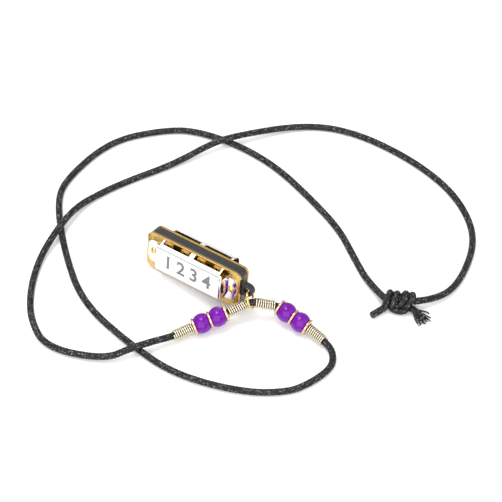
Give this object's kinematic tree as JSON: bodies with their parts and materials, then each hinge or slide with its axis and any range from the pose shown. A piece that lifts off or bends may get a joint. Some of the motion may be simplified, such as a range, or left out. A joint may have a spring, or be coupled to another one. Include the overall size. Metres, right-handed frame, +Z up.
{
  "type": "harmonica",
  "caption": "Miniature harmonica pendant: black comb between brass reed plates and chrome covers, hung by a ring from a knotted black cord with beads, washers and wire coils.",
  "frame": {"origin": "centre of the harmonica's footprint, on the surface it stands on", "axes": "+X along the harmonica towards its eyelet, +Y from the front cover towards the rear cover, +Z up"},
  "size_m": [0.1331, 0.1341, 0.016],
  "materials": {
    "black_abs": "satin moulded ABS",
    "yellow_brass": "rolled reed brass",
    "chrome_plate": "mirror chrome plate",
    "brass_nail": "drawn brass",
    "gilt_wire": "gilt steel wire",
    "nickel_wire": "nickel plated wire",
    "rose_gilt": "rose gilt washer",
    "purple_acrylic": "opaque glossy acrylic",
    "waxed_cotton": "black waxed cotton braid"
  },
  "bodies": {
    "necklace": {"cord_core": "waxed_cotton", "cord_left": "waxed_cotton", "cord_right": "waxed_cotton", "cord_knot": "waxed_cotton", "left_inner_coil": "nickel_wire", "left_outer_coil": "nickel_wire", "right_inner_coil": "nickel_wire", "right_outer_coil": "nickel_wire"},
    "ring": {"jump_ring": "gilt_wire"},
    "harmonica": {"blow_reed_pads": "yellow_brass", "blow_reed_plate": "yellow_brass", "blow_reed_rivets": "yellow_brass", "comb": "black_abs", "draw_reed_pads": "yellow_brass", "draw_reed_plate": "yellow_brass", "draw_reed_rivets": "yellow_brass", "front_cover": "chrome_plate", "front_cover_nails": "brass_nail", "rear_cover": "chrome_plate", "rear_cover_nails": "brass_nail"},
    "left_inner_washer": {"left_inner_washer": "rose_gilt"},
    "left_inner_bead": {"left_inner_bead": "purple_acrylic"},
    "left_mid_washer": {"left_mid_washer": "rose_gilt"},
    "left_outer_bead": {"left_outer_bead": "purple_acrylic"},
    "left_outer_washer": {"left_outer_washer": "rose_gilt"},
    "right_inner_washer": {"right_inner_washer": "rose_gilt"},
    "right_inner_bead": {"right_inner_bead": "purple_acrylic"},
    "right_mid_washer": {"right_mid_washer": "rose_gilt"},
    "right_outer_bead": {"right_outer_bead": "purple_acrylic"},
    "right_outer_washer": {"right_outer_washer": "rose_gilt"},
    "draw_reed_1": {"draw_reed_1": "yellow_brass"},
    "draw_reed_2": {"draw_reed_2": "yellow_brass"},
    "draw_reed_3": {"draw_reed_3": "yellow_brass"},
    "draw_reed_4": {"draw_reed_4": "yellow_brass"},
    "blow_reed_1": {"blow_reed_1": "yellow_brass"},
    "blow_reed_2": {"blow_reed_2": "yellow_brass"},
    "blow_reed_3": {"blow_reed_3": "yellow_brass"},
    "blow_reed_4": {"blow_reed_4": "yellow_brass"}
  },
  "joints": [
    {"name": "ring_on_cord", "type": "hinge", "parent": "necklace", "child": "ring", "pos_m": [0.01934, -0.00157, 0.00674], "axis": [0.7151, 0.699, 0.0038], "range_deg": [-2, 35]},
    {"name": "harmonica_on_ring", "type": "hinge", "parent": "ring", "child": "harmonica", "pos_m": [0.01708, 0.00004, 0.00976], "axis": [-0.0139, -0.9736, 0.2279], "range_deg": [-120, 2]},
    {"name": "left_inner_washer_spin", "type": "hinge", "parent": "necklace", "child": "left_inner_washer", "pos_m": [0.01446, -0.00864, 0.00509], "axis": [-0.5574, -0.8085, -0.1886], "continuous": true},
    {"name": "left_inner_bead_spin", "type": "hinge", "parent": "necklace", "child": "left_inner_bead", "pos_m": [0.01297, -0.01081, 0.00458], "axis": [-0.5574, -0.8085, -0.1886], "continuous": true},
    {"name": "left_mid_washer_spin", "type": "hinge", "parent": "necklace", "child": "left_mid_washer", "pos_m": [0.01148, -0.01297, 0.00408], "axis": [-0.5574, -0.8085, -0.1886], "continuous": true},
    {"name": "left_outer_bead_spin", "type": "hinge", "parent": "necklace", "child": "left_outer_bead", "pos_m": [0.00999, -0.01513, 0.00357], "axis": [-0.5574, -0.8085, -0.1886], "continuous": true},
    {"name": "left_outer_washer_spin", "type": "hinge", "parent": "necklace", "child": "left_outer_washer", "pos_m": [0.0085, -0.0173, 0.00307], "axis": [-0.5574, -0.8085, -0.1886], "continuous": true},
    {"name": "right_inner_washer_spin", "type": "hinge", "parent": "necklace", "child": "right_inner_washer", "pos_m": [0.02708, 0.00299, 0.00503], "axis": [0.9774, -0.0083, -0.2112], "continuous": true},
    {"name": "right_inner_bead_spin", "type": "hinge", "parent": "necklace", "child": "right_inner_bead", "pos_m": [0.0297, 0.00297, 0.00447], "axis": [0.9774, -0.0083, -0.2112], "continuous": true},
    {"name": "right_mid_washer_spin", "type": "hinge", "parent": "necklace", "child": "right_mid_washer", "pos_m": [0.03231, 0.00295, 0.0039], "axis": [0.9774, -0.0083, -0.2112], "continuous": true},
    {"name": "right_outer_bead_spin", "type": "hinge", "parent": "necklace", "child": "right_outer_bead", "pos_m": [0.03493, 0.00293, 0.00334], "axis": [0.9774, -0.0083, -0.2112], "continuous": true},
    {"name": "right_outer_washer_spin", "type": "hinge", "parent": "necklace", "child": "right_outer_washer", "pos_m": [0.03754, 0.00291, 0.00277], "axis": [0.9774, -0.0083, -0.2112], "continuous": true},
    {"name": "draw_reed_1_flex", "type": "hinge", "parent": "harmonica", "child": "draw_reed_1", "pos_m": [-0.01238, -0.00163, 0.01231], "axis": [0.9981, 0, 0.061], "range_deg": [-3.5, 3.5], "stiffness_Nm_per_rad": 0.00002},
    {"name": "draw_reed_2_flex", "type": "hinge", "parent": "harmonica", "child": "draw_reed_2", "pos_m": [-0.00609, -0.00163, 0.01269], "axis": [0.9981, 0, 0.061], "range_deg": [-3.5, 3.5], "stiffness_Nm_per_rad": 0.00002},
    {"name": "draw_reed_3_flex", "type": "hinge", "parent": "harmonica", "child": "draw_reed_3", "pos_m": [0.0002, -0.00163, 0.01308], "axis": [0.9981, 0, 0.061], "range_deg": [-3.5, 3.5], "stiffness_Nm_per_rad": 0.00002},
    {"name": "draw_reed_4_flex", "type": "hinge", "parent": "harmonica", "child": "draw_reed_4", "pos_m": [0.00649, -0.00163, 0.01346], "axis": [0.9981, 0, 0.061], "range_deg": [-3.5, 3.5], "stiffness_Nm_per_rad": 0.00002},
    {"name": "blow_reed_1_flex", "type": "hinge", "parent": "harmonica", "child": "blow_reed_1", "pos_m": [-0.01228, 0.00231, 0.01072], "axis": [0.9981, 0, 0.061], "range_deg": [-3.5, 3.5], "stiffness_Nm_per_rad": 0.00002},
    {"name": "blow_reed_2_flex", "type": "hinge", "parent": "harmonica", "child": "blow_reed_2", "pos_m": [-0.00599, 0.00231, 0.0111], "axis": [0.9981, 0, 0.061], "range_deg": [-3.5, 3.5], "stiffness_Nm_per_rad": 0.00002},
    {"name": "blow_reed_3_flex", "type": "hinge", "parent": "harmonica", "child": "blow_reed_3", "pos_m": [0.0003, 0.00231, 0.01149], "axis": [0.9981, 0, 0.061], "range_deg": [-3.5, 3.5], "stiffness_Nm_per_rad": 0.00002},
    {"name": "blow_reed_4_flex", "type": "hinge", "parent": "harmonica", "child": "blow_reed_4", "pos_m": [0.00659, 0.00231, 0.01187], "axis": [0.9981, 0, 0.061], "range_deg": [-3.5, 3.5], "stiffness_Nm_per_rad": 0.00002}
  ]
}
